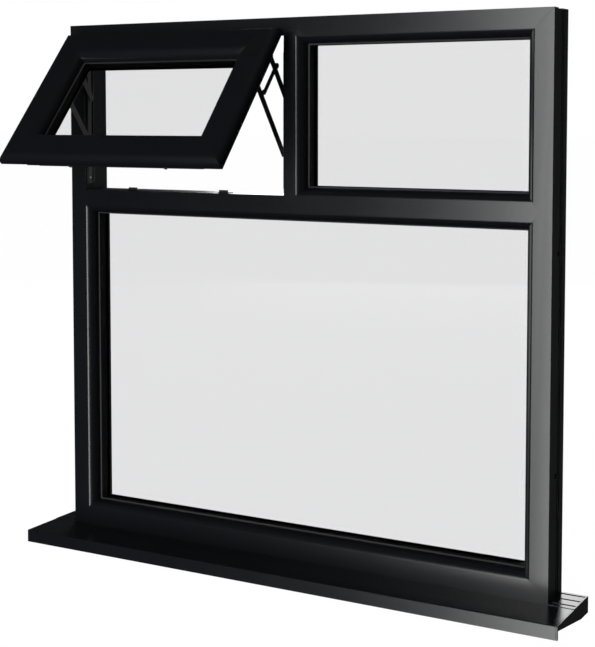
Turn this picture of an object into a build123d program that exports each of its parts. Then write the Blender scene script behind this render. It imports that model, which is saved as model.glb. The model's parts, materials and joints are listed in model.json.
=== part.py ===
from build123d import *
from math import cos, radians, sin
import os

# A square uPVC window. A transom and a short mullion divide it into a large
# fixed light below, a small fixed light above right and a top-hung vent above
# left, which stands open on a pair of friction stays. A sill carries it.
# X runs along the window, +Y goes into the room and +Z is up. The origin is on
# the sill's flat underside, midway along it and midway through the frame.

os.makedirs("parts", exist_ok=True)

# ---- overall sizes (mm) ----
frame_width = 1050.0
frame_height = 1050.0
frame_depth = 75.0
sill_height = 30.0
sill_projection = 96.0
sill_horn = 50.0
transom_drop = 357.0

# ---- frame profile ----
frame_face = 35.0
transom_face = 33.0
mullion_face = 26.0
leg_height = 15.0
leg_back = 24.0
ovolo_depth = 20.0
ovolo_bulge = 4.0
wall = 3.0
chamber_walls = [(3.0, 20.0), (22.5, 52.0), (54.5, frame_depth - wall)]
back_chamber_inset = 5.0
edge_channels = [(22.0, 45.0), (47.0, 54.0)]
edge_channel_depth = 1.2
steel_wall = 1.5
steel_play = 0.5
steel_end_gap = 55.0
fixing_radius = 5.0
fixing_heights = [250.0, 650.0]

# ---- glazing ----
pane = 4.0
frame_unit = 28.0
frame_gasket = 3.0
sash_unit = 20.0
sash_gasket = 2.0
inner_gasket = 2.0
gasket_lip = 2.7
gasket_bite = 9.0
unit_gap = 3.0
seal_width = 4.0
spacer_width = 7.0
block_length = 90.0
bead_round = 10.0
groove_depth = 2.0
groove_width = 3.0
groove_setback = 5.0
tongue_play = 0.2
bead_joint = 0.1

# ---- vent sash ----
sash_overlap = 14.0
sash_gap = 13.0
sash_depth = 56.0
flange = 20.0
flange_gap = 2.0
sash_bevel = 14.0
sash_bevel_bulge = 3.6
sash_face = 53.0
sash_ovolo_depth = 18.0
sash_leg = 15.0
open_angle = 41.0
hinge_lead = 22.5
hinge_rise = 27.0
sash_steel_gap = 70.0
seal_near = 4.0
seal_far = 10.0
weather_seal_play = 0.1

# ---- friction stays: depths are measured out from the reveal ----
track_setback = 16.5
track_width = 19.0
track_inner = 15.4
track_base = 1.5
track_lip = 4.6
track_top = 45.0
track_length = 262.0
shoe_width = 9.6
shoe_length = 24.0
shoe_layer = (1.8, 4.4)
short_arm_layer = (5.0, 7.0)
link_layer = (7.3, 8.7)
long_arm_layer = (9.0, 10.8)
plate_thickness = 2.0
arm_width = 13.0
link_width = 10.0
short_pivot_drop = 44.0
long_pivot_drop = 112.0
link_reach = 30.0
link_offset = 11.0
arm_ratio = 0.9
pivot_radius = 3.0
pin_radius = 2.5
running_play = 0.05
open_pivot_play = 0.3
plate_length = 200.0
plate_width = 16.0
screw_radius = 2.0
screw_head = 3.4
screw_length = 14.0

# ---- espagnolette ----
gear_setback = 45.0
rod_stroke = 18.0
rod_width = 8.0
rod_layer = (0.3, 2.3)
faceplate_width = 14.0
faceplate_layer = (2.6, 4.1)
faceplate_length = 380.0
cam_spacing = 220.0
cam_radius = 4.5
cam_stem = 3.0
cam_layer = (5.5, 8.8)
keep_length = 26.0
keep_hook = 3.0
keep_height = 6.0
keep_base = 1.5
keep_play = 0.6
keep_screw_shift = 8.0
gearbox_size = (50.0, 19.0, 13.0)
gearbox_play = 0.3
spindle_side = 7.0
spindle_rise = 12.0
spindle_hole = 7.5
follower_radius = 6.0
handle_hole_radius = 2.5
handle_hole_spacing = 43.0

# ---- places worked out from the sizes ----
left, right = -frame_width / 2, frame_width / 2
bottom = sill_height
top = bottom + frame_height
front = -frame_depth / 2
back = frame_depth / 2
transom_z = top - transom_drop
transom_low = transom_z - transom_face / 2
transom_high = transom_z + transom_face / 2
mullion_half = mullion_face / 2

LEFT, RIGHT = (-1, 0, 0), (1, 0, 0)
UP, DOWN = (0, 0, 1), (0, 0, -1)

# Each light is the rectangle between its members' plain faces: x0, z0, x1, z1.
lower_light = (left + frame_face, bottom + frame_face, right - frame_face, transom_low)
upper_light = (mullion_half, transom_high, right - frame_face, top - frame_face)
vent_light = (left + frame_face, transom_high, -mullion_half, top - frame_face)
vent_middle = (vent_light[0] + vent_light[2]) / 2


def grown(rect, amount):
    """The rectangle moved outwards on all four sides."""
    x0, z0, x1, z1 = rect
    return (x0 - amount, z0 - amount, x1 + amount, z1 + amount)


sash_outer = grown(vent_light, sash_overlap)
sash_body = grown(vent_light, -sash_gap)
sash_rebate = grown(sash_outer, -sash_face)
sash_front = front - flange_gap - flange
flange_back = sash_front + flange
body_edge = sash_overlap + sash_gap

# The stays let the vent slide out and down as it swings. Together that is a turn
# about a line in front of its flange and above its top edge.
sash_top = sash_outer[3]
hinge_y = flange_back - hinge_lead
hinge_z = sash_top + hinge_rise
sash_hinge = Axis((0, hinge_y, hinge_z), (-1, 0, 0))


# ---- drawing helpers ----
def elevation(y):
    """The plane of the window's face at depth y, seen from outside."""
    return Plane.XZ.offset(-y)


def bar_plane(x, y, z, across):
    """A bar's section: local x runs across from its edge, local y into the room."""
    run = Vector(*across).cross(Vector(0, 1, 0))
    return Plane(origin=(x, y, z), x_dir=across, z_dir=run)


def polygon(plane, points):
    with BuildSketch(plane) as shape:
        with BuildLine():
            Polyline(*points, close=True)
        make_face()
    return shape.sketch


def rectangle(plane, x0, y0, x1, y1):
    return polygon(plane, [(x0, y0), (x1, y0), (x1, y1), (x0, y1)])


def ring(plane, rect, inner):
    x0, z0, x1, z1 = rect
    a0, b0, a1, b1 = inner
    with BuildSketch(plane) as shape:
        with Locations(((x0 + x1) / 2, (z0 + z1) / 2)):
            Rectangle(x1 - x0, z1 - z0)
        with Locations(((a0 + a1) / 2, (b0 + b1) / 2)):
            Rectangle(a1 - a0, b1 - b0, mode=Mode.SUBTRACT)
    return shape.sketch


def disc(plane, x, y, radius):
    with BuildSketch(plane) as shape:
        with Locations((x, y)):
            Circle(radius)
    return shape.sketch


def strap(plane, first, second, width):
    """A flat bar with round ends, from one centre to the other."""
    with BuildSketch(plane) as shape:
        with Locations(first, second):
            Circle(width / 2)
        make_hull()
    return shape.sketch


def sides(rect, y):
    """Section plane and length of each side of a rectangle of mitred bars."""
    x0, z0, x1, z1 = rect
    return {
        "left": (bar_plane(x0, y, z0, RIGHT), z1 - z0),
        "bottom": (bar_plane(x1, y, z0, UP), x1 - x0),
        "right": (bar_plane(x1, y, z1, LEFT), z1 - z0),
        "top": (bar_plane(x0, y, z1, DOWN), x1 - x0),
    }


def mitre(rect, width, side, gap=0.0):
    """The share of one side in a mitred rectangle, out to a given width."""
    x0, z0, x1, z1 = rect
    a0, b0, a1, b1 = grown(rect, -width)
    corners = {
        "left": [(x0, z0 + gap), (a0, b0 + gap), (a0, b1 - gap), (x0, z1 - gap)],
        "bottom": [(x0 + gap, z0), (x1 - gap, z0), (a1 - gap, b0), (a0 + gap, b0)],
        "right": [(x1, z0 + gap), (x1, z1 - gap), (a1, b1 - gap), (a1, b0 + gap)],
        "top": [(x0 + gap, z1), (a0 + gap, b1), (a1 - gap, b1), (x1 - gap, z1)],
    }
    return polygon(elevation(0), corners[side])


def save(piece, name):
    piece.part.label = name
    export_step(piece.part, f"parts/{name}.step")


def save_on_sash(piece, name):
    """The vent's pieces are drawn closed and swung to the resting angle."""
    swung = piece.part.rotate(sash_hinge, open_angle)
    swung.label = name
    export_step(swung, f"parts/{name}.step")


def swing(y, z, angle=open_angle):
    """A point of the closed vent after the vent has swung open."""
    turn = radians(angle)
    out, down = hinge_y - y, hinge_z - z
    new_out = out * cos(turn) + down * sin(turn)
    new_down = down * cos(turn) - out * sin(turn)
    return (hinge_y - new_out, hinge_z - new_down)


# ---- frame members ----
def box_section(plane, width):
    """A hollow box profile: front, steel and back chambers."""
    with BuildSketch(plane) as section:
        with Locations((width / 2, frame_depth / 2)):
            Rectangle(width, frame_depth)
        for near, far in chamber_walls:
            inset = back_chamber_inset if far > chamber_walls[1][1] else wall
            with Locations((width / 2, (near + far) / 2)):
                Rectangle(width - 2 * inset, far - near, mode=Mode.SUBTRACT)
    return section.sketch


def leg_section(plane):
    """The ovolo upstand that the glass closes against."""
    with BuildSketch(plane) as section:
        with BuildLine():
            SagittaArc((0, 0), (leg_height, ovolo_depth), -ovolo_bulge)
            Polyline((leg_height, ovolo_depth), (leg_height, leg_back), (0, leg_back), (0, 0))
        make_face()
    return section.sketch


bead_front = leg_back + frame_gasket + frame_unit + inner_gasket
sash_bead_front = flange + sash_gasket + sash_unit + inner_gasket


def groove_section(plane, bead_start):
    """The groove that a glazing bead's tongue snaps into."""
    near = bead_start + groove_setback
    return rectangle(plane, -groove_depth, near, 0, near + groove_width)


def frame_bar(bar, legs, share, cuts=(), channels=()):
    """Box profile, its ovolo legs and bead grooves, cut to its mitred share."""
    plane, width, length = bar
    with BuildPart() as member:
        extrude(box_section(plane, width), amount=length)
        for near, far in channels:
            extrude(rectangle(plane, 0, near, edge_channel_depth, far), amount=length, mode=Mode.SUBTRACT)
        for leg_plane, leg_length in legs:
            extrude(leg_section(leg_plane), amount=leg_length)
            extrude(groove_section(leg_plane.offset(-groove_depth), bead_front),
                    amount=leg_length + 2 * groove_depth, mode=Mode.SUBTRACT)
        extrude(polygon(elevation(0), share), amount=frame_depth, both=True, mode=Mode.INTERSECT)
        for hole, depth in cuts:
            extrude(hole, amount=depth, both=True, mode=Mode.SUBTRACT)
    return member


sight = frame_face + leg_height
mid_sight = transom_face / 2 + leg_height
mullion_sight = mullion_half + leg_height
left_tip = (left + frame_face - transom_face / 2, transom_z)
right_tip = (right - frame_face + transom_face / 2, transom_z)
upper_tip = (0, top - frame_face + mullion_half)
lower_tip = (0, transom_high - mullion_half)

outline = (left, bottom, right, top)
lower_sides = sides(lower_light, front)
upper_sides = sides(upper_light, front)
outer_sides = sides(outline, front)


def fixing_holes(across_x):
    return [(disc(Plane.YZ.offset(across_x), 0, z, fixing_radius), frame_face * 2) for z in fixing_heights]


rail_screw_places = [-360.0, 0.0, 360.0]
rail_screw_radius = 2.4
rail_screw_head = (4.5, 2.2)
rail_screw_depth = 22.0
rail_holes = [
    (disc(Plane.XY.offset(bottom), x, 0, rail_screw_radius + 0.2), frame_face + 1)
    for x in rail_screw_places
]

frame_head = frame_bar(
    (outer_sides["top"][0], frame_face, frame_width),
    [upper_sides["top"]],
    [(left, top), (right, top), (right - sight, top - sight), (mullion_sight, top - sight),
     upper_tip, (-mullion_half, top - frame_face), (left + frame_face, top - frame_face)],
    channels=edge_channels,
)
save(frame_head, "frame_head")

frame_jamb_left = frame_bar(
    (outer_sides["left"][0], frame_face, frame_height),
    [lower_sides["left"]],
    [(left, top), (left + frame_face, top - frame_face), (left + frame_face, transom_high),
     left_tip, (left + sight, transom_z - mid_sight), (left + sight, bottom + sight), (left, bottom)],
    fixing_holes(left),
    edge_channels,
)
save(frame_jamb_left, "frame_jamb_left")

frame_jamb_right = frame_bar(
    (outer_sides["right"][0], frame_face, frame_height),
    [lower_sides["right"], upper_sides["right"]],
    [(right, top), (right - sight, top - sight), (right - sight, transom_z + mid_sight), right_tip,
     (right - sight, transom_z - mid_sight), (right - sight, bottom + sight), (right, bottom)],
    fixing_holes(right),
    edge_channels,
)
save(frame_jamb_right, "frame_jamb_right")

frame_bottom_rail = frame_bar(
    (outer_sides["bottom"][0], frame_face, frame_width),
    [lower_sides["bottom"]],
    [(left, bottom), (right, bottom), (right - sight, bottom + sight), (left + sight, bottom + sight)],
    rail_holes,
)
save(frame_bottom_rail, "frame_bottom_rail")

transom = frame_bar(
    (bar_plane(right, front, transom_low, UP), transom_face, frame_width),
    [lower_sides["top"], upper_sides["bottom"]],
    [left_tip, (left + frame_face, transom_high), (-mullion_half, transom_high), lower_tip,
     (mullion_sight, transom_z + mid_sight), (right - sight, transom_z + mid_sight), right_tip,
     (right - sight, transom_z - mid_sight), (left + sight, transom_z - mid_sight)],
)
save(transom, "transom")

mullion = frame_bar(
    (bar_plane(-mullion_half, front, transom_low, RIGHT), mullion_face, top - transom_low),
    [upper_sides["left"]],
    [upper_tip, (mullion_sight, top - sight), (mullion_sight, transom_z + mid_sight), lower_tip,
     (-mullion_half, transom_high), (-mullion_half, top - frame_face)],
)
save(mullion, "mullion")

# ---- steel inside the middle chambers ----
steel_near, steel_far = chamber_walls[1]


def steel_tube(bar):
    """A square steel tube that slides into a member's middle chamber."""
    plane, width, length = bar
    across = width - 2 * (wall + steel_play)
    deep = steel_far - steel_near - 2 * steel_play
    with BuildSketch(plane.offset(steel_end_gap)) as section:
        with Locations((width / 2, (steel_near + steel_far) / 2)):
            Rectangle(across, deep)
            Rectangle(across - 2 * steel_wall, deep - 2 * steel_wall, mode=Mode.SUBTRACT)
    return section.sketch, length - 2 * steel_end_gap


steel_bars = [
    (outer_sides["top"][0], frame_face, frame_width),
    (outer_sides["left"][0], frame_face, frame_height),
    (outer_sides["right"][0], frame_face, frame_height),
    (outer_sides["bottom"][0], frame_face, frame_width),
    (bar_plane(right, front, transom_low, UP), transom_face, frame_width),
    (bar_plane(-mullion_half, front, transom_low, RIGHT), mullion_face, top - transom_low),
]

with BuildPart() as steel_reinforcements:
    for steel_bar in steel_bars:
        tube, tube_length = steel_tube(steel_bar)
        extrude(tube, amount=tube_length)
    for hole, depth in fixing_holes(left) + fixing_holes(right) + rail_holes:
        extrude(hole, amount=depth, both=True, mode=Mode.SUBTRACT)
save(steel_reinforcements, "steel_reinforcements")

# ---- sill ----
nose_y = front - sill_projection
nose_bottom = 4.0
nose_lip = 4.0
nose_edge = 1.0
sill_step = 0.8
sill_step_y = front - 3.0
sill_fall = 1.2
sill_under = 19.5
sill_seat = 40.0
rib_width = 6.0
rib_depth = 1.2
rib_places = [front + 8 + 27 * step for step in range(3)]
cap_thickness = 3.0
cap_peg = 8.0
cap_play = 0.3
sill_half = frame_width / 2 + sill_horn
sill_chambers = [
    (5.0, 4.0, back - 4.0, sill_height - 4.0),
    (front + 4.0, 9.0, 2.0, sill_height - 4.0),
    (front - 62.0, 18.0, front - 1.0, sill_height - 4.0),
]

sill_outline = [
    (back, 0), (back, sill_height), (sill_step_y, sill_height), (sill_step_y, sill_height - sill_step),
    (nose_y + nose_edge, sill_height - sill_fall), (nose_y, sill_height - sill_fall - nose_edge),
    (nose_y, nose_bottom), (nose_y + nose_lip, nose_bottom), (nose_y + nose_lip, sill_under),
    (back - sill_seat, 0),
]

with BuildPart() as sill:
    extrude(polygon(Plane.YZ.offset(cap_thickness - sill_half), sill_outline),
            amount=2 * (sill_half - cap_thickness))
    for y0, z0, y1, z1 in sill_chambers:
        extrude(rectangle(Plane.YZ.offset(-sill_half), y0, z0, y1, z1), amount=2 * sill_half,
                mode=Mode.SUBTRACT)
    for y in rib_places:
        extrude(rectangle(Plane.YZ.offset(-sill_half), y, sill_height - rib_depth, y + rib_width,
                          sill_height + 1), amount=2 * sill_half, mode=Mode.SUBTRACT)
    for x in rail_screw_places:
        extrude(disc(Plane.XY.offset(sill_height - rail_screw_depth), x, 0, rail_screw_radius),
                amount=rail_screw_depth + 1, mode=Mode.SUBTRACT)
save(sill, "sill")

for end, side in (("left", -1), ("right", 1)):
    with BuildPart() as sill_end_cap:
        cap_plane = Plane.YZ.offset(side * (sill_half - cap_thickness))
        extrude(polygon(cap_plane, sill_outline), amount=side * cap_thickness)
        for y0, z0, y1, z1 in sill_chambers:
            extrude(rectangle(cap_plane, y0 + cap_play, z0 + cap_play, y1 - cap_play, z1 - cap_play),
                    amount=-side * cap_peg)
    save(sill_end_cap, f"sill_end_cap_{end}")

head_radius, head_height = rail_screw_head
with BuildPart() as sill_screws:
    for x in rail_screw_places:
        extrude(disc(Plane.XY.offset(bottom - rail_screw_depth), x, 0, rail_screw_radius),
                amount=rail_screw_depth + frame_face)
        extrude(disc(Plane.XY.offset(bottom + frame_face), x, 0, head_radius), amount=head_height)
save(sill_screws, "sill_screws")


# ---- glazing, the same build-up in all three lights ----
def block_boxes(rect):
    """Two setting blocks under the unit, two over it and one at each side."""
    x0, z0, x1, z1 = rect
    quarter = (x1 - x0) / 4
    middle_z = (z0 + z1) / 2
    half = block_length / 2
    boxes = []
    for x in (x0 + quarter, x1 - quarter):
        boxes.append((x - half, z0, x + half, z0 + unit_gap))
        boxes.append((x - half, z1 - unit_gap, x + half, z1))
    boxes.append((x0, middle_z - half, x0 + unit_gap, middle_z + half))
    boxes.append((x1 - unit_gap, middle_z - half, x1, middle_z + half))
    return boxes


def bead_section(plane, near, far):
    """A glazing bead: flat against the gasket, rounded into the room, with its tongue."""
    tongue = near + groove_setback + tongue_play
    with BuildSketch(plane) as section:
        with BuildLine():
            Polyline((leg_height - bead_round, far), (0, far), (0, near), (leg_height, near),
                     (leg_height, far - bead_round))
            RadiusArc((leg_height, far - bead_round), (leg_height - bead_round, far), bead_round)
        make_face()
        with Locations((tongue_play - groove_depth, tongue)):
            Rectangle(groove_depth - tongue_play + 1, groove_width - 2 * tongue_play,
                      align=(Align.MIN, Align.MIN))
    return section.sketch


def glaze(light, rect, face_y, leg, gasket, unit, far, keep):
    """Panes, spacer, seals, gaskets, beads and blocks of one light, each its own node."""
    unit_rect = grown(rect, -unit_gap)
    spacer_rect = grown(unit_rect, -seal_width)
    clear_rect = grown(spacer_rect, -spacer_width)
    gasket_rect = grown(rect, gasket_bite - leg_height)
    lip_rect = grown(rect, -leg_height - gasket_lip)
    glass = face_y + leg + gasket
    inside = glass + unit
    pieces = {
        "outer_gasket": (ring(elevation(face_y + leg), gasket_rect, lip_rect), gasket),
        "outer_pane": (rectangle(elevation(glass), *unit_rect), pane),
        "edge_seal": (ring(elevation(glass + pane), unit_rect, spacer_rect), unit - 2 * pane),
        "spacer_bar": (ring(elevation(glass + pane), spacer_rect, clear_rect), unit - 2 * pane),
        "inner_pane": (rectangle(elevation(inside - pane), *unit_rect), pane),
        "inner_gasket": (ring(elevation(inside), gasket_rect, lip_rect), inner_gasket),
    }
    for name, (shape, thickness) in pieces.items():
        with BuildPart() as piece:
            extrude(shape, amount=-thickness)
        keep(piece, f"{light}_{name}")
    with BuildPart() as setting_blocks:
        for x0, z0, x1, z1 in block_boxes(rect):
            extrude(rectangle(elevation(glass), x0, z0, x1, z1), amount=-unit)
    keep(setting_blocks, f"{light}_setting_blocks")
    bead_bars = []
    reach = grown(rect, groove_depth)
    near = leg + gasket + unit + inner_gasket
    for side, (plane, length) in sides(rect, face_y).items():
        with BuildPart() as bead:
            extrude(bead_section(plane.offset(-groove_depth), near, far), amount=length + 2 * groove_depth)
            extrude(mitre(reach, groove_depth + leg_height, side, bead_joint), amount=2 * frame_depth,
                    both=True, mode=Mode.INTERSECT)
        bead_bars.append(bead.part)
    with BuildPart() as glazing_beads:
        add(bead_bars)
    keep(glazing_beads, f"{light}_glazing_beads")


for light_name, light_rect in (("lower", lower_light), ("upper", upper_light)):
    glaze(light_name, light_rect, front, leg_back, frame_gasket, frame_unit, frame_depth, save)
glaze("sash", sash_rebate, sash_front, flange, sash_gasket, sash_unit, sash_depth, save_on_sash)


# ---- vent sash members, drawn closed ----
def sash_section(plane):
    """Flange with a rounded edge, ovolo leg, hollow body and bead groove."""
    with BuildSketch(plane) as section:
        with BuildLine():
            Polyline((sash_bevel, 0), (sash_face, 0))
            SagittaArc((sash_face, 0), (sash_face + sash_leg, sash_ovolo_depth), -ovolo_bulge)
            Polyline((sash_face + sash_leg, sash_ovolo_depth), (sash_face + sash_leg, flange),
                     (sash_face, flange), (sash_face, sash_depth), (body_edge, sash_depth),
                     (body_edge, flange), (0, flange), (0, sash_bevel))
            SagittaArc((0, sash_bevel), (sash_bevel, 0), -sash_bevel_bulge)
        make_face()
        groove = sash_bead_front + groove_setback
        cavities = [
            (sash_bevel + wall, wall, sash_face - wall, flange - wall),
            (body_edge + wall, flange + wall, sash_face - wall, sash_bead_front - 2 * wall),
            (body_edge + wall, sash_bead_front - wall, sash_face - back_chamber_inset, sash_depth - wall),
        ]
        for x0, y0, x1, y1 in cavities:
            with Locations(((x0 + x1) / 2, (y0 + y1) / 2)):
                Rectangle(x1 - x0, y1 - y0, mode=Mode.SUBTRACT)
        with Locations((sash_face - groove_depth, groove)):
            Rectangle(groove_depth, groove_width, align=(Align.MIN, Align.MIN), mode=Mode.SUBTRACT)
    return section.sketch


sash_middle = vent_middle
spindle_x = sash_middle
spindle_z = sash_outer[1] + body_edge + spindle_rise
gear_y = sash_front + gear_setback
body_low = sash_outer[1] + body_edge
body_back = sash_front + sash_depth
gear_long, gear_high, gear_deep = gearbox_size
handle_holes = [spindle_x - handle_hole_spacing / 2, spindle_x + handle_hole_spacing / 2]


def box_between(x0, x1, y0, y1, z0, z1):
    """A plain box, given by its limits."""
    with BuildPart() as solid:
        extrude(rectangle(elevation(y0), x0, z0, x1, z1), amount=y0 - y1)
    return solid.part


gear_limits = (spindle_x - gear_long / 2, spindle_x + gear_long / 2,
               gear_y - gear_deep / 2, gear_y + gear_deep / 2, body_low, body_low + gear_high)
gear_pocket = (gear_limits[0] - gearbox_play, gear_limits[1] + gearbox_play,
               gear_limits[2] - gearbox_play, gear_limits[3] + gearbox_play,
               body_low - 1, gear_limits[5] + gearbox_play)

plate_y = front + track_setback
first_screw_drop = body_edge + wall + screw_radius + 2
plate_screw_drops = [first_screw_drop, short_pivot_drop + 40, long_pivot_drop + 40]
stay_sides = {"left": (vent_light[0], 1), "right": (vent_light[2], -1)}

sash_sides = sides(sash_outer, sash_front)
sash_names = {"top": "sash_top_rail", "bottom": "sash_bottom_rail", "left": "sash_stile_left",
              "right": "sash_stile_right"}
for side, (plane, length) in sash_sides.items():
    with BuildPart() as sash_bar:
        extrude(sash_section(plane), amount=length)
        extrude(mitre(sash_outer, sash_face + sash_leg, side), amount=2 * frame_depth, both=True,
                mode=Mode.INTERSECT)
        if side == "bottom":
            add(box_between(*gear_pocket), mode=Mode.SUBTRACT)
            extrude(disc(elevation(body_back), spindle_x, spindle_z, spindle_hole), amount=wall + 1,
                    both=True, mode=Mode.SUBTRACT)
            for x in handle_holes:
                extrude(disc(elevation(body_back), x, spindle_z, handle_hole_radius), amount=wall + 1,
                        both=True, mode=Mode.SUBTRACT)
        if side in stay_sides:
            reveal_x, inward = stay_sides[side]
            for drop in plate_screw_drops:
                extrude(disc(Plane.YZ.offset(reveal_x + inward * sash_gap), plate_y, sash_top - drop,
                             screw_radius), amount=wall + 1, both=True, mode=Mode.SUBTRACT)
    save_on_sash(sash_bar, sash_names[side])

with BuildPart() as sash_steel:
    steel_deep = sash_bead_front - 3 * wall - flange - 2 * steel_play
    steel_across = sash_face - body_edge - 2 * (wall + steel_play)
    for plane, length in sash_sides.values():
        with BuildSketch(plane.offset(sash_steel_gap)) as section:
            with Locations(((body_edge + sash_face) / 2, flange + wall + steel_play + steel_deep / 2)):
                Rectangle(steel_across, steel_deep)
                Rectangle(steel_across - 2 * steel_wall, steel_deep - 2 * steel_wall, mode=Mode.SUBTRACT)
        extrude(section.sketch, amount=length - 2 * sash_steel_gap)
save_on_sash(sash_steel, "sash_steel")

with BuildPart() as sash_weather_seal:
    extrude(ring(elevation(flange_back), grown(sash_outer, -seal_near), grown(sash_outer, -seal_far)),
            amount=weather_seal_play - flange_gap)
save_on_sash(sash_weather_seal, "sash_weather_seal")


# ---- friction stays, one pair, mirrored about the middle of the vent ----
def stay_plane(depth):
    """The plane of a stay layer, measured in from the left reveal."""
    return Plane.YZ.offset(vent_light[0] + depth)


mirror_plane = Plane.YZ.offset(vent_middle)
track_y = plate_y


def arm_length(drop):
    """The arm's length that puts its shoe back on the track at the open angle."""
    opened_y, opened_z = swing(track_y, sash_top - drop)
    return (track_y - opened_y) / sin(radians(arm_ratio * open_angle))


def along_arm(pivot, distance, offset=0.0):
    """A point of an open arm: down it from its sash pivot and room-side of its line."""
    lean = radians(arm_ratio * open_angle)
    y = pivot[0] + distance * sin(lean) + offset * cos(lean)
    z = pivot[1] - distance * cos(lean) + offset * sin(lean)
    return (y, z)


short_pivot = swing(track_y, sash_top - short_pivot_drop)
long_pivot = swing(track_y, sash_top - long_pivot_drop)
short_length = arm_length(short_pivot_drop)
long_length = arm_length(long_pivot_drop)
short_shoe_pin = along_arm(short_pivot, short_length)
long_shoe_pin = along_arm(long_pivot, long_length)
link_upper = along_arm(short_pivot, link_reach, link_offset)
link_lower = along_arm(long_pivot, link_reach, link_offset)

with BuildPart() as stay_tracks:
    z_high = sash_top - track_top
    z_low = z_high - track_length
    half = track_width / 2
    inner = track_inner / 2
    extrude(rectangle(stay_plane(0), track_y - half, z_low, track_y + half, z_high), amount=track_lip)
    extrude(rectangle(stay_plane(track_base), track_y - inner, z_low - 1, track_y + inner, z_high + 1),
            amount=track_lip, mode=Mode.SUBTRACT)
    for z in (z_low + 12, z_high - 12):
        extrude(disc(stay_plane(0), track_y, z, screw_radius), amount=track_lip, mode=Mode.SUBTRACT)
    mirror(about=mirror_plane)
save(stay_tracks, "stay_tracks")


def stay_arm(name, layer, pivot, length, shoe_pin, link_pin):
    """A flat arm: sash pivot hole, shoe hole, and an ear with the link's pin."""
    low, high = layer
    link_low, link_high = link_layer
    with BuildPart() as arm:
        extrude(strap(stay_plane(low), pivot, shoe_pin, arm_width), amount=high - low)
        extrude(strap(stay_plane(low), along_arm(pivot, link_reach), link_pin, link_width),
                amount=high - low)
        extrude(disc(stay_plane(low), *pivot, pivot_radius + running_play), amount=high - low,
                mode=Mode.SUBTRACT)
        extrude(disc(stay_plane(low), *shoe_pin, pin_radius + running_play), amount=high - low,
                mode=Mode.SUBTRACT)
        pin_low, pin_high = min(high, link_low), max(low, link_high)
        extrude(disc(stay_plane(pin_low), *link_pin, pin_radius), amount=pin_high - pin_low)
        mirror(about=mirror_plane)
    save(arm, name)


stay_arm("stay_short_arms", short_arm_layer, short_pivot, short_length, short_shoe_pin, link_upper)
stay_arm("stay_long_arms", long_arm_layer, long_pivot, long_length, long_shoe_pin, link_lower)

with BuildPart() as stay_links:
    low, high = link_layer
    extrude(strap(stay_plane(low), link_upper, link_lower, link_width), amount=high - low)
    extrude(disc(stay_plane(low), *link_upper, pin_radius + running_play), amount=high - low,
            mode=Mode.SUBTRACT)
    extrude(disc(stay_plane(low), *link_lower, pin_radius + open_pivot_play), amount=high - low,
            mode=Mode.SUBTRACT)
    mirror(about=mirror_plane)
save(stay_links, "stay_links")

for name, pin, layer in (("stay_short_shoes", short_shoe_pin, short_arm_layer),
                         ("stay_long_shoes", long_shoe_pin, long_arm_layer)):
    with BuildPart() as stay_shoe:
        low, high = shoe_layer
        extrude(strap(stay_plane(low), (pin[0], pin[1] - shoe_length / 2 + shoe_width / 2),
                      (pin[0], pin[1] + shoe_length / 2 - shoe_width / 2), shoe_width), amount=high - low)
        extrude(disc(stay_plane(high), *pin, pin_radius), amount=layer[1] - high)
        mirror(about=mirror_plane)
    save(stay_shoe, name)

plate_outer = sash_gap
plate_inner = sash_gap - plate_thickness
plate_top_z = sash_top - short_pivot_drop + 26
with BuildPart() as stay_sash_plates:
    extrude(strap(stay_plane(plate_inner), (track_y, plate_top_z - plate_width / 2),
                  (track_y, plate_top_z - plate_length + plate_width / 2), plate_width),
            amount=plate_thickness)
    for drop in plate_screw_drops:
        extrude(disc(stay_plane(plate_inner), track_y, sash_top - drop, screw_head), amount=plate_thickness,
                mode=Mode.SUBTRACT)
    mirror(about=mirror_plane)
save_on_sash(stay_sash_plates, "stay_sash_plates")

with BuildPart() as stay_rivets:
    for drop, layer in ((short_pivot_drop, short_arm_layer), (long_pivot_drop, long_arm_layer)):
        extrude(disc(stay_plane(layer[0]), track_y, sash_top - drop, pivot_radius),
                amount=plate_inner - layer[0])
    mirror(about=mirror_plane)
save_on_sash(stay_rivets, "stay_rivets")

with BuildPart() as sash_plate_screws:
    for drop in plate_screw_drops:
        extrude(disc(stay_plane(plate_inner), track_y, sash_top - drop, screw_head), amount=plate_thickness)
        extrude(disc(stay_plane(plate_outer), track_y, sash_top - drop, screw_radius), amount=wall)
    mirror(about=mirror_plane)
save_on_sash(sash_plate_screws, "sash_plate_screws")

# ---- espagnolette: rod behind a faceplate, mushroom cams and their keeps ----
cam_places = [vent_middle - cam_spacing / 2, vent_middle + cam_spacing / 2]


def under(depth):
    """A horizontal plane this far below the sash body's lower face."""
    return Plane.XY.offset(body_low - depth)


def slab_under(layer, x0, x1, width):
    near, far = layer
    return rectangle(under(far), x0, gear_y - width / 2, x1, gear_y + width / 2), far - near


with BuildPart() as espag_faceplate:
    near, far = faceplate_layer
    x0 = vent_middle - faceplate_length / 2
    x1 = vent_middle + faceplate_length / 2
    shape, _ = slab_under((0, far), x0, x1, faceplate_width)
    extrude(shape, amount=far)
    shape, _ = slab_under((0, near), x0 - 1, x1 + 1, rod_width + 1)
    extrude(shape, amount=near, mode=Mode.SUBTRACT)
    for x in cam_places:
        extrude(strap(under(far), (x - rod_stroke, gear_y), (x, gear_y), 2 * cam_stem + 1),
                amount=far, mode=Mode.SUBTRACT)
save_on_sash(espag_faceplate, "espag_faceplate")

with BuildPart() as espag_rod:
    near, far = rod_layer
    rod_half = faceplate_length / 2 - rod_stroke / 2 - 2
    rod_middle = vent_middle + rod_stroke / 2
    shape, thickness = slab_under((near, far), rod_middle - rod_half, rod_middle + rod_half, rod_width)
    extrude(shape, amount=thickness)
save_on_sash(espag_rod, "espag_rod")

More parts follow.
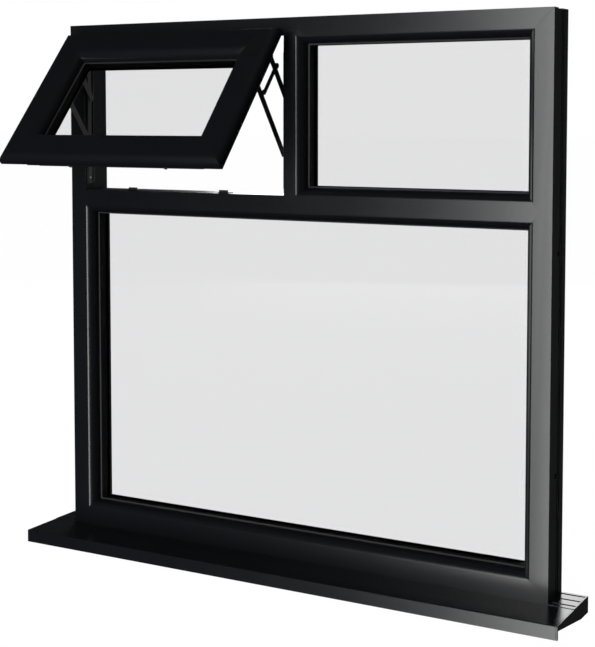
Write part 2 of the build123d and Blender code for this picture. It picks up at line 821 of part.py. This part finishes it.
with BuildPart() as mushroom_cams:
    for x in cam_places:
        extrude(disc(under(cam_layer[1]), x, gear_y, cam_radius), amount=cam_layer[1] - cam_layer[0])
        extrude(disc(under(cam_layer[0]), x, gear_y, cam_stem), amount=cam_layer[0] - rod_layer[1])
save_on_sash(mushroom_cams, "mushroom_cams")

keep_front = gear_y - cam_radius - keep_play - keep_hook
keep_spots = [x - rod_stroke for x in cam_places]
with BuildPart() as keeps:
    for x in keep_spots:
        add(box_between(x - keep_length / 2, x + keep_length / 2, keep_front, gear_y + 10,
                        transom_high, transom_high + keep_base))
        add(box_between(x - keep_length / 2 + 3, x + keep_length / 2 - 3, keep_front,
                        keep_front + keep_hook, transom_high, transom_high + keep_height))
        for shift in (-keep_screw_shift, keep_screw_shift):
            extrude(disc(Plane.XY.offset(transom_high), x + shift, gear_y + 3, screw_radius),
                    amount=keep_base, mode=Mode.SUBTRACT)
save(keeps, "keeps")

with BuildPart() as hardware_screws:
    for x in keep_spots:
        for shift in (-keep_screw_shift, keep_screw_shift):
            extrude(disc(Plane.XY.offset(transom_high), x + shift, gear_y + 3, screw_radius),
                    amount=keep_base)
    for z in (z_low + 12, z_high - 12):
        for reveal_x, inward in stay_sides.values():
            extrude(disc(Plane.YZ.offset(reveal_x), track_y, z, screw_radius), amount=inward * track_base)
save(hardware_screws, "hardware_screws")

with BuildPart() as espag_gearbox:
    add(box_between(*gear_limits))
    extrude(disc(elevation(gear_y), spindle_x, spindle_z, follower_radius + running_play),
            amount=gear_deep, both=True, mode=Mode.SUBTRACT)
save_on_sash(espag_gearbox, "espag_gearbox")

with BuildPart() as spindle_follower:
    follower_start = gear_y - gear_deep / 2
    extrude(disc(elevation(follower_start), spindle_x, spindle_z, follower_radius), amount=-gear_deep)
    with BuildSketch(elevation(follower_start)):
        with Locations((spindle_x, spindle_z)):
            Rectangle(spindle_side, spindle_side)
    extrude(amount=-gear_deep, mode=Mode.SUBTRACT)
save_on_sash(spindle_follower, "spindle_follower")
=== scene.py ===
# %% [markdown]
# # A top-hung vent window in black uPVC
# The window is a welded plastic frame on a projecting sill. Two lights are fixed and one vent stands
# open on friction stays. The measured model already holds every rigid piece at its true size, so the
# work here is what makes it look real: softened edges, finishes, rubber with round lips, domed rivets
# and a plain studio to show it in.

import bmesh
import bpy
import json
import math
from mathutils import Matrix, Vector


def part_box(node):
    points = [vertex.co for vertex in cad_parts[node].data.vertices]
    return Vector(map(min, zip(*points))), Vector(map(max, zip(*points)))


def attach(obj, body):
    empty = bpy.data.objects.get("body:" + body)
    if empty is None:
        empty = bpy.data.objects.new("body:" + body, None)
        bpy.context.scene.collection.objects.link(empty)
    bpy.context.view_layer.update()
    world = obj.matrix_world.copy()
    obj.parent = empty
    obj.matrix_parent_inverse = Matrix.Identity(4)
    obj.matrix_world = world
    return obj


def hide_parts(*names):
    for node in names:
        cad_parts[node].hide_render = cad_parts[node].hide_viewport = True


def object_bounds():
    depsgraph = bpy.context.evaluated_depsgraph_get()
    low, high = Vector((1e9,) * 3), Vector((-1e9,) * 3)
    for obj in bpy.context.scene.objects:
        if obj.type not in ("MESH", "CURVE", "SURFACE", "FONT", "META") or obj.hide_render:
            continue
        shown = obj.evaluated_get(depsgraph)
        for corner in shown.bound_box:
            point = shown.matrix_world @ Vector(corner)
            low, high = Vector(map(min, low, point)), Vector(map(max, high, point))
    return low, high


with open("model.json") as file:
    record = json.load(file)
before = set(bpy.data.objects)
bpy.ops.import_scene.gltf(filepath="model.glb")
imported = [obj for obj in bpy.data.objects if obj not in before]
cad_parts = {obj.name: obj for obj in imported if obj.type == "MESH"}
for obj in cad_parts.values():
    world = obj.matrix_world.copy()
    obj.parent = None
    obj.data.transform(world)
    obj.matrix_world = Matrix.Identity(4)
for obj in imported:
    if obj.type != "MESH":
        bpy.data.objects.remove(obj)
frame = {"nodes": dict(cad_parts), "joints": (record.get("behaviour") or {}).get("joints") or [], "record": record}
nodes = frame["nodes"]
cad_low, cad_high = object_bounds()
joints = {joint["name"]: joint for joint in frame["joints"]}
millimetre = 0.001
print("pieces loaded:", len(nodes))

# %% [markdown]
# ## Where the vent is when it is shut
# The vent is stored open, so its pieces are tilted in space. Anything new for it is easiest to draw
# upright, with the vent shut, and then to swing open about the same hinge line. The hinge line and
# the angle come from the joint itself, so they always agree with the model.

# %% The swing of the vent
tilt = joints["sash_tilt"]
hinge_point = Vector(tilt["pos_m"])
open_turn = math.radians(-tilt["range_deg"][0])
swing_open = Matrix.Rotation(open_turn, 4, Vector(tilt["axis"]))
swing_shut = swing_open.inverted()


def shut_box(node):
    """The box of a vent piece when the vent is shut."""
    points = [hinge_point + swing_shut @ (v.co - hinge_point) for v in nodes[node].data.vertices]
    low = Vector(min(p[axis] for p in points) for axis in range(3))
    high = Vector(max(p[axis] for p in points) for axis in range(3))
    return low, high


print("vent opened by", round(math.degrees(open_turn)), "degrees")

# %% [markdown]
# ## Edges that catch the light
# A moulded or extruded edge is never perfectly sharp. A radius of a few tenths of a millimetre is
# enough to draw the thin bright line that shows where two faces meet. The measured meshes are loose
# triangles, so they are welded first and their flat faces made whole. Then they are bevelled wherever
# they turn sharply, and the normals are weighted by area so that the flat faces stay flat. Curved
# faces turn in small steps and keep their shape. These are all modifiers, and leave the mesh alone.

# %% Soften one rigid piece
sharp_turn = math.radians(32)
flat_turn = math.radians(0.4)
weld_distance = 0.01 * millimetre
bevel_segments = 2


def soften(node, radius):
    """Weld, bevel and smooth one measured piece without touching its mesh."""
    piece = nodes[node]
    weld = piece.modifiers.new("weld", "WELD")
    weld.merge_threshold = weld_distance
    flatten = piece.modifiers.new("whole faces", "DECIMATE")
    flatten.decimate_type = "DISSOLVE"
    flatten.angle_limit = flat_turn
    bevel = piece.modifiers.new("soft edge", "BEVEL")
    bevel.width = radius
    bevel.segments = bevel_segments
    bevel.limit_method = "ANGLE"
    bevel.angle_limit = sharp_turn
    bevel.harden_normals = False
    bevel.use_clamp_overlap = True
    weighted = piece.modifiers.new("flat faces", "WEIGHTED_NORMAL")
    weighted.keep_sharp = True
    for face in piece.data.polygons:
        face.use_smooth = True


print("faces that turn by more than", round(math.degrees(sharp_turn)), "degrees get a bevel")

# %% [markdown]
# Thick extrusions come off the saw and the welder with the largest radius. The clip-in beads are
# thinner, and the pressed and turned metal of the stays and the lock is crisper still.

# %% Soften the profiles, the beads and the hardware
profile_pieces = [
    "frame_head", "frame_jamb_left", "frame_jamb_right", "frame_bottom_rail", "transom", "mullion",
    "sash_top_rail", "sash_bottom_rail", "sash_stile_left", "sash_stile_right",
    "sill", "sill_end_cap_left", "sill_end_cap_right",
]
bead_pieces = ["lower_glazing_beads", "upper_glazing_beads", "sash_glazing_beads"]
hardware_pieces = [
    "stay_long_arms", "stay_short_arms", "stay_links", "stay_sash_plates", "stay_tracks",
    "stay_long_shoes", "stay_short_shoes", "espag_faceplate", "espag_rod", "keeps",
    "espag_gearbox", "spindle_follower", "mushroom_cams",
]
for pieces, radius in ((profile_pieces, 0.4), (bead_pieces, 0.3), (hardware_pieces, 0.2)):
    for node in pieces:
        soften(node, radius * millimetre)
    print("edges of", radius, "mm on", len(pieces), "pieces")

# %% [markdown]
# ## Effects shared by several finishes
# Extruded plastic has a fine skin: a faint grain, slow changes in gloss, and a little dust on what
# faces up. The same three things show on coated steel and on rubber at other strengths. So each effect
# is a node group with its own inputs, and each material sets the strengths that suit it. Building a
# group by hand takes many similar lines, so two helpers come first.

# %% An empty group, and sums inside it
float_kind = "NodeSocketFloat"
colour_kind = "NodeSocketColor"
bare_black = (0.02, 0.02, 0.02, 1)


def new_group(name, inputs, outputs):
    """An empty shader node group with named sockets."""
    group = bpy.data.node_groups.new(name, "ShaderNodeTree")
    for label, kind, value in inputs:
        socket = group.interface.new_socket(label, in_out="INPUT", socket_type=kind)
        socket.default_value = value
    for label, kind in outputs:
        group.interface.new_socket(label, in_out="OUTPUT", socket_type=kind)
    start = group.nodes.new("NodeGroupInput")
    end = group.nodes.new("NodeGroupOutput")
    return group, start, end


def feed(tree, socket, value):
    """Give an input a fixed value, or a link from another node's output."""
    if isinstance(value, (int, float, tuple)):
        socket.default_value = value
    else:
        tree.links.new(value, socket)


def maths(tree, operation, first, second):
    """A maths node; each operand is a number or a socket."""
    node = tree.nodes.new("ShaderNodeMath")
    node.operation = operation
    feed(tree, node.inputs[0], first)
    feed(tree, node.inputs[1], second)
    return node.outputs[0]


# %% [markdown]
# Noise is read in the object's own coordinates, which are metres here, so its scale is a count of
# waves per metre and the pattern rides with the piece. Taking a half away centres it on zero, so that
# a strength of nothing changes nothing.

# %% Noise that rides with the piece
noise_roughness = 0.55


def noise(tree, scale, detail=3.0):
    """Object-space noise, centred on zero."""
    where = tree.nodes.new("ShaderNodeTexCoord")
    pattern = tree.nodes.new("ShaderNodeTexNoise")
    pattern.inputs["Scale"].default_value = scale
    pattern.inputs["Detail"].default_value = detail
    pattern.inputs["Roughness"].default_value = noise_roughness
    tree.links.new(where.outputs["Object"], pattern.inputs["Vector"])
    return maths(tree, "SUBTRACT", pattern.outputs["Fac"], 0.5)


# %% [markdown]
# The skin has three sizes of pattern. A broad one shifts the shade, a cloudy one shifts the gloss as
# handling and weather do, and a very fine one is the grain left by the die, used as height.

# %% The fine skin of a moulded or coated surface
broad_scale, cloudy_scale, grain_scale = 6.0, 45.0, 1400.0
cloudy_share = 0.6
skin, skin_in, skin_out = new_group(
    "fine_skin",
    [("Colour", colour_kind, bare_black), ("Shade", float_kind, 0.15), ("Gloss", float_kind, 0.35),
     ("Gloss change", float_kind, 0.1), ("Grain", float_kind, 0.3)],
    [("Colour", colour_kind), ("Roughness", float_kind), ("Height", float_kind)],
)
broad = noise(skin, broad_scale)
cloudy = noise(skin, cloudy_scale)
grain = noise(skin, grain_scale, detail=2.0)
brightness = maths(skin, "ADD", maths(skin, "MULTIPLY", broad, skin_in.outputs["Shade"]), 1.0)
shade = skin.nodes.new("ShaderNodeVectorMath")
shade.operation = "SCALE"
skin.links.new(skin_in.outputs["Colour"], shade.inputs[0])
skin.links.new(brightness, shade.inputs["Scale"])
skin.links.new(shade.outputs["Vector"], skin_out.inputs["Colour"])
patches = maths(skin, "ADD", maths(skin, "MULTIPLY", cloudy, cloudy_share), broad)
gloss_shift = maths(skin, "MULTIPLY", patches, skin_in.outputs["Gloss change"])
skin.links.new(maths(skin, "ADD", gloss_shift, skin_in.outputs["Gloss"]), skin_out.inputs["Roughness"])
skin.links.new(maths(skin, "MULTIPLY", grain, skin_in.outputs["Grain"]), skin_out.inputs["Height"])
print("group", skin.name, "has", len(skin.nodes), "nodes")

# %% [markdown]
# Dust settles on faces that look up and stays in streaks where rain has dried. The mask reads the
# surface direction, so it lands on the sill and the top of the vent and leaves upright faces clean.

# %% Dust on what faces up
dust_colour = (0.32, 0.31, 0.29, 1)
patch_scale, patch_contrast, patch_base = 28.0, 1.6, 0.6
dust_roughness = 2.0


def mix_colour(tree, factor, first, second):
    """Blend two colour sockets or values."""
    node = tree.nodes.new("ShaderNodeMix")
    node.data_type = "RGBA"
    factor_in, first_in, second_in = node.inputs[0], node.inputs[6], node.inputs[7]
    for socket, value in ((factor_in, factor), (first_in, first), (second_in, second)):
        feed(tree, socket, value)
    return node.outputs[2]


dust, dust_in, dust_out = new_group(
    "settled_dust",
    [("Colour", colour_kind, bare_black), ("Roughness", float_kind, 0.35), ("Amount", float_kind, 0.05)],
    [("Colour", colour_kind), ("Roughness", float_kind)],
)
surface = dust.nodes.new("ShaderNodeNewGeometry")
direction = dust.nodes.new("ShaderNodeSeparateXYZ")
dust.links.new(surface.outputs["Normal"], direction.inputs[0])
upward = maths(dust, "MAXIMUM", direction.outputs["Z"], 0.0)
patchy = maths(dust, "MULTIPLY", noise(dust, patch_scale, detail=6.0), patch_contrast)
patchy = maths(dust, "ADD", patchy, patch_base)
cover = maths(dust, "MULTIPLY", maths(dust, "MULTIPLY", upward, patchy), dust_in.outputs["Amount"])
dusted = mix_colour(dust, cover, dust_in.outputs["Colour"], dust_colour)
dust.links.new(dusted, dust_out.inputs["Colour"])
roughened = maths(dust, "MULTIPLY", cover, dust_roughness)
roughened = maths(dust, "ADD", dust_in.outputs["Roughness"], roughened)
dust.links.new(roughened, dust_out.inputs["Roughness"])
print("group", dust.name, "has", len(dust.nodes), "nodes")

# %% [markdown]
# ## Finishes
# Every opaque finish is one Principled surface fed by the two groups. What differs is the colour, the
# gloss, how strong the grain is, and whether the surface is metal.

# %% A finish made from the shared effects
shade_change = 0.15


def finish(name, colour, gloss, gloss_change, grain_depth, dustiness, metal=0.0):
    """A material with skin and dust; the grain depth is in metres."""
    material = bpy.data.materials.new(name)
    material.use_nodes = True
    tree = material.node_tree
    surface_shader = tree.nodes["Principled BSDF"]
    surface_shader.inputs["Metallic"].default_value = metal
    skin_node = tree.nodes.new("ShaderNodeGroup")
    skin_node.node_tree = skin
    skin_node.inputs["Colour"].default_value = (*colour, 1)
    skin_node.inputs["Shade"].default_value = shade_change
    skin_node.inputs["Gloss"].default_value = gloss
    skin_node.inputs["Gloss change"].default_value = gloss_change
    dust_node = tree.nodes.new("ShaderNodeGroup")
    dust_node.node_tree = dust
    dust_node.inputs["Amount"].default_value = dustiness
    bump = tree.nodes.new("ShaderNodeBump")
    bump.inputs["Distance"].default_value = grain_depth
    tree.links.new(skin_node.outputs["Colour"], dust_node.inputs["Colour"])
    tree.links.new(skin_node.outputs["Roughness"], dust_node.inputs["Roughness"])
    tree.links.new(dust_node.outputs["Colour"], surface_shader.inputs["Base Color"])
    tree.links.new(dust_node.outputs["Roughness"], surface_shader.inputs["Roughness"])
    tree.links.new(skin_node.outputs["Height"], bump.inputs["Height"])
    tree.links.new(bump.outputs["Normal"], surface_shader.inputs["Normal"])
    return material


# %% [markdown]
# The window plastic is a satin black with a touch of blue. Rubber and sealant are duller, the stays
# are coated steel, and the steel hidden in the profiles is zinc plated. The packers under the glass
# are a bright plastic, as packers are, so that a fitter can tell their thickness.

# %% The opaque finishes
soft_black = (0.006, 0.006, 0.006)
plain_black = (0.012, 0.012, 0.012)
finish_rows = [
    ("black_upvc", (0.0042, 0.0052, 0.0068), 0.235, 0.05, 0.00003, 0.004),
    ("gasket_rubber", soft_black, 0.62, 0.15, 0.0001, 0.01),
    ("edge_sealant", soft_black, 0.7, 0.1, 0.0001, 0.0),
    ("spacer_bar", plain_black, 0.5, 0.1, 0.00005, 0.0),
    ("packer_plastic", (0.32, 0.05, 0.03), 0.45, 0.1, 0.00008, 0.0),
    ("zinc_plated_steel", (0.55, 0.55, 0.53), 0.32, 0.25, 0.00005, 0.004, 1.0),
    ("black_steel", (0.006, 0.006, 0.0065), 0.42, 0.12, 0.00008, 0.004),
    ("shoe_plastic", plain_black, 0.5, 0.1, 0.0001, 0.0),
]
finishes = {row[0]: finish(*row) for row in finish_rows}
print("opaque finishes:", ", ".join(finishes))

# %% [markdown]
# ## Glass
# Each light is a sealed unit of two panes. Looking through both takes about a quarter of the light
# away and leaves it faintly grey. A low index keeps reflections soft. The tint belongs to the pane, and
# so it is the base colour of a fully transmitting surface.

# %% Clear glass
glass = bpy.data.materials.new("clear_glass")
glass.use_nodes = True
glass_shader = glass.node_tree.nodes["Principled BSDF"]
glass_shader.inputs["Base Color"].default_value = (0.875, 0.875, 0.88, 1)
glass_shader.inputs["Transmission Weight"].default_value = 1.0
glass_shader.inputs["Roughness"].default_value = 0.0
glass_shader.inputs["IOR"].default_value = 1.09
finishes["clear_glass"] = glass
print("finishes in all:", len(finishes))

# %% [markdown]
# The measured model already says which slot each piece belongs to. Reading the slots from it, rather
# than listing the pieces again, means that no piece can be forgotten.

# %% Give every measured piece its finish
for entry in frame["record"]["subparts"]:
    piece = nodes[entry["node"]]
    piece.data.materials.clear()
    piece.data.materials.append(finishes[entry["material_slot"]])

# %% [markdown]
# ## New pieces
# A few pieces are soft or domed and look better drawn afresh. Each is built as a loose mesh, cleaned,
# given its finish, and set to ride on the body that it belongs to.

# %% Turn a mesh into a piece


def new_piece(name, mesh, body, slot):
    """Turn a finished bmesh into a piece that rides on a body and takes its finish."""
    bmesh.ops.remove_doubles(mesh, verts=mesh.verts, dist=weld_distance)
    bmesh.ops.recalc_face_normals(mesh, faces=mesh.faces)
    data = bpy.data.meshes.new(name)
    mesh.to_mesh(data)
    mesh.free()
    piece = bpy.data.objects.new(name, data)
    bpy.context.scene.collection.objects.link(piece)
    data.materials.append(finishes[slot])
    for face in data.polygons:
        face.use_smooth = True
    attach(piece, body)
    print("made", name, "with", len(data.polygons), "faces")
    return piece


# %% [markdown]
# ## Rubber gaskets with a round lip
# A gasket is an extruded strip with a soft round lip that presses on the glass, cut into four lengths
# and mitred. The measured model has it as a plain square strip. Here one cross-section is placed at
# each corner of the light, pointing along the mitre, and the loops are bridged, so the lip is round
# and the corners are true mitres.

# %% Sweep a cross-section round a rectangle


def sweep_round(low, high, outline):
    """A mitred ring: outline points are (distance in from the edge, distance into the room)."""
    mesh = bmesh.new()
    corners = [
        (low.x, low.z, 1, 1),
        (high.x, low.z, -1, 1),
        (high.x, high.z, -1, -1),
        (low.x, high.z, 1, -1),
    ]
    loops = []
    for x, z, in_x, in_z in corners:
        loop = [mesh.verts.new((x + in_x * w, low.y + n, z + in_z * w)) for w, n in outline]
        loops.append([mesh.edges.new((loop[i - 1], loop[i])) for i in range(len(loop))])
    for i in range(len(loops)):
        bmesh.ops.bridge_loops(mesh, edges=loops[i - 1] + loops[i])
    return mesh


def round_strip(width, thickness, steps=6):
    """A flat strip whose inner edge is a half-round lip."""
    radius = thickness / 2
    points = [(0, 0), (width - radius, 0)]
    for step in range(1, steps):
        turn = math.pi * step / steps
        points.append((width - radius + radius * math.sin(turn), radius - radius * math.cos(turn)))
    points += [(width - radius, thickness), (0, thickness)]
    return points


# %% [markdown]
# Each light has one ring outside the glass and one inside. The thickness is that of the plain strip
# being replaced. The vent's two rings are drawn with the vent shut, and then swung open.

# %% Gaskets of the three lights
gasket_rings = [("lower", "frame"), ("upper", "frame"), ("sash", "sash")]
gasket_bite = 11.7 * millimetre
for light, body in gasket_rings:
    for face in ("outer", "inner"):
        node = f"{light}_{face}_gasket"
        low, high = shut_box(node) if body == "sash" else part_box(node)
        ring = sweep_round(low, high, round_strip(gasket_bite, high.y - low.y))
        if body == "sash":
            bmesh.ops.rotate(ring, verts=ring.verts, cent=hinge_point, matrix=swing_open)
        gasket = new_piece(f"{light}_{face}_lip", ring, body, "gasket_rubber")
        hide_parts(node)

# %% [markdown]
# The weather seal on the back of the vent's flange is a hollow bulb that flattens as the vent shuts.
# Its section is nearly a half-round on a flat foot.

# %% Weather seal
low, high = shut_box("sash_weather_seal")
seal_width = 6 * millimetre
seal_height = high.y - low.y
bulb_steps = 9
bulb = [(0, 0), (seal_width, 0)]
for step in range(1, bulb_steps):
    turn = math.pi * step / bulb_steps
    bulb.append((seal_width / 2 + seal_width / 2 * math.cos(turn), seal_height * math.sin(turn)))
ring = sweep_round(low, high, bulb)
bmesh.ops.rotate(ring, verts=ring.verts, cent=hinge_point, matrix=swing_open)
seal = new_piece("vent_weather_seal", ring, "sash", "gasket_rubber")
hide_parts("sash_weather_seal")

# %% [markdown]
# ## Rivets
# The stay bars turn on riveted pins. A rivet's closed end is a low dome. One quarter-arc spun about
# the pin's axis gives the dome, with a flat underside where it stands on the bar.

# %% Domes turned about an axis
round_steps = 32


def dome(mesh, place, outward, radius, height, steps=6):
    """A low dome standing on a place: a quarter-arc spun about the outward direction."""
    side = outward.orthogonal().normalized()
    chain = [mesh.verts.new(place)]
    for step in range(steps + 1):
        turn = math.pi / 2 * step / steps
        reach = side * radius * math.cos(turn)
        rise = outward * height * math.sin(turn)
        chain.append(mesh.verts.new(place + reach + rise))
    edges = [mesh.edges.new(pair) for pair in zip(chain, chain[1:])]
    bmesh.ops.spin(mesh, geom=chain + edges, cent=place, axis=outward, angle=2 * math.pi, steps=round_steps)


# %% [markdown]
# Each pin shows a dome on the face of its bar that looks at the vent. The bars lie in layers, counted
# in from the reveal that the tracks are screwed to: short arms, then links, then long arms. A link
# joins the two arms, so its lower pin is its upper one moved by the step between the arms' own pins.

# %% Rivet domes on the stays
rivet_radius = 3.4 * millimetre
small_rivet_radius = 2.8 * millimetre
rivet_height = 0.8 * millimetre
short_arm_face, link_face, long_arm_face = 7.0 * millimetre, 8.7 * millimetre, 10.8 * millimetre


def pin_place(joint):
    """Where a joint's pin is."""
    return Vector(joints[joint]["pos_m"])


lower_link_pin = pin_place("link_pivot") + pin_place("long_arm_pivot") - pin_place("short_arm_pivot")
pins = [
    ("upper_link_rivets", "links", link_face, rivet_radius, pin_place("link_pivot")),
    ("lower_link_rivets", "long_arms", long_arm_face, small_rivet_radius, lower_link_pin),
    ("short_shoe_rivets", "short_arms", short_arm_face, rivet_radius, pin_place("short_shoe_pivot")),
    ("long_shoe_rivets", "long_arms", long_arm_face, rivet_radius, pin_place("long_shoe_pivot")),
]
track_low, track_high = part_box("stay_tracks")
for name, body, depth, radius, pin in pins:
    mesh = bmesh.new()
    dome(mesh, Vector((track_low.x + depth, pin.y, pin.z)), Vector((1, 0, 0)), radius, rivet_height)
    dome(mesh, Vector((track_high.x - depth, pin.y, pin.z)), Vector((-1, 0, 0)), radius, rivet_height)
    new_piece(name, mesh, body, "black_steel")

# %% [markdown]
# ## A plain studio
# The floor and the background are white, but only where they are looked at, or seen through glass. The
# black plastic would otherwise mirror them and turn grey. The kind of ray tells the two cases apart.

# %% Tell a look from a reflection


def looked_at(tree):
    """One for a ray from the camera, straight or through glass; zero after any reflection."""
    ray = tree.nodes.new("ShaderNodeLightPath")
    direct = maths(tree, "MAXIMUM", ray.outputs["Is Camera Ray"], ray.outputs["Is Transmission Ray"])
    bounces = maths(tree, "ADD", ray.outputs["Glossy Depth"], ray.outputs["Diffuse Depth"])
    return maths(tree, "MULTIPLY", direct, maths(tree, "LESS_THAN", bounces, 0.5))


# %% [markdown]
# The floor is a wide plane that glows white to the eye. It neither lights the window nor takes a
# shadow, so the window stands on clean white.

# %% Floor
floor_reach = 60
floor_glow = 0.99
floor_mesh = bmesh.new()
bmesh.ops.create_grid(floor_mesh, x_segments=2, y_segments=2, size=floor_reach)
floor_data = bpy.data.meshes.new("studio_floor")
floor_mesh.to_mesh(floor_data)
floor_mesh.free()
floor = bpy.data.objects.new("studio_floor", floor_data)
bpy.context.scene.collection.objects.link(floor)
floor_paint = bpy.data.materials.new("studio_white")
floor_paint.use_nodes = True
floor_tree = floor_paint.node_tree
floor_shader = floor_tree.nodes["Principled BSDF"]
floor_shader.inputs["Base Color"].default_value = (0.03, 0.03, 0.03, 1)
floor_shader.inputs["Roughness"].default_value = 0.9
floor_shader.inputs["Specular IOR Level"].default_value = 0.0
floor_shader.inputs["Emission Color"].default_value = (1, 1, 1, 1)
floor_strength = maths(floor_tree, "MULTIPLY", looked_at(floor_tree), floor_glow)
floor_tree.links.new(floor_strength, floor_shader.inputs["Emission Strength"])
floor_data.materials.append(floor_paint)
floor.visible_glossy = False
floor.visible_diffuse = False
floor.visible_shadow = False
print("floor reaches", floor_reach, "m each way")

# %% [markdown]
# The background is one plain colour. A trace of it always stays on, so that no corner goes fully black.

# %% Background
background_glow = 0.985
background_trace = 0.015
world = bpy.data.worlds.new("studio")
bpy.context.scene.world = world
world.use_nodes = True
sky = world.node_tree
backdrop = sky.nodes["Background"]
backdrop.inputs["Color"].default_value = (1, 1, 1, 1)
glow = maths(sky, "MULTIPLY", looked_at(sky), background_glow)
glow = maths(sky, "ADD", glow, background_trace)
sky.links.new(glow, backdrop.inputs["Strength"])
print("background brightness:", background_glow + background_trace)

# %% [markdown]
# Satin black shows little of its own colour. What is seen on it is the mirror image of the lights, so
# they are large soft panels. A tall one stands straight ahead of the window. The camera stands to the
# right, and only the right-hand bars mirror the panel to it, which gives the sheen that fades to the
# left. Four weaker panels stand behind, to the left and above, so that other sides have some light.

# %% Soft panels


def panel(name, place, aim, width, height, power):
    """A soft rectangular light that the camera and the glass don't show."""
    data = bpy.data.lights.new(name, "AREA")
    data.shape = "RECTANGLE"
    data.size = width
    data.size_y = height
    data.energy = power
    lamp = bpy.data.objects.new(name, data)
    bpy.context.scene.collection.objects.link(lamp)
    lamp.location = place
    lamp.rotation_euler = (Vector(aim) - Vector(place)).to_track_quat("-Z", "Y").to_euler()
    lamp.visible_camera = False
    lamp.visible_transmission = False
    print("panel", name, "gives", power, "watts")


middle = (cad_low + cad_high) / 2
panel("key_panel", (-0.07, -3.8, 0.4), (-0.07, 0, 0.4), 1.7, 5.2, 203)
panel("back_panel", (4.4, 3.0, 0.3), middle, 1.2, 4.0, 80)
panel("back_fill", (-1.6, 4.2, 1.6), middle, 2.2, 3.0, 80)
panel("side_panel", (-4.2, -0.4, 0.8), middle, 2.0, 3.0, 40)
panel("top_panel", (0.0, 0.6, 4.0), middle, 2.5, 1.5, 10)

# %% [markdown]
# ## Camera
# The window is seen from the right, from just under the height of the vent. The camera dips very
# little, so the uprights stay nearly upright, and the picture is shifted down to hold the sill.

# %% Place the camera
camera_data = bpy.data.cameras.new("camera")
camera = bpy.data.objects.new("camera", camera_data)
bpy.context.scene.collection.objects.link(camera)
camera.location = (1.3190, -2.3716, 0.8882)
view_turn = math.radians(29.14)
view_dip = math.radians(3.6)
camera.rotation_euler = (math.radians(90) - view_dip, 0, view_turn)
camera_data.lens = 77.8
camera_data.sensor_width = 36
camera_data.shift_y = -0.1816
bpy.context.scene.camera = camera
bpy.context.scene.view_settings.view_transform = "Standard"
print("camera stands", round((camera.location - middle).length, 2), "m from the middle of the window")
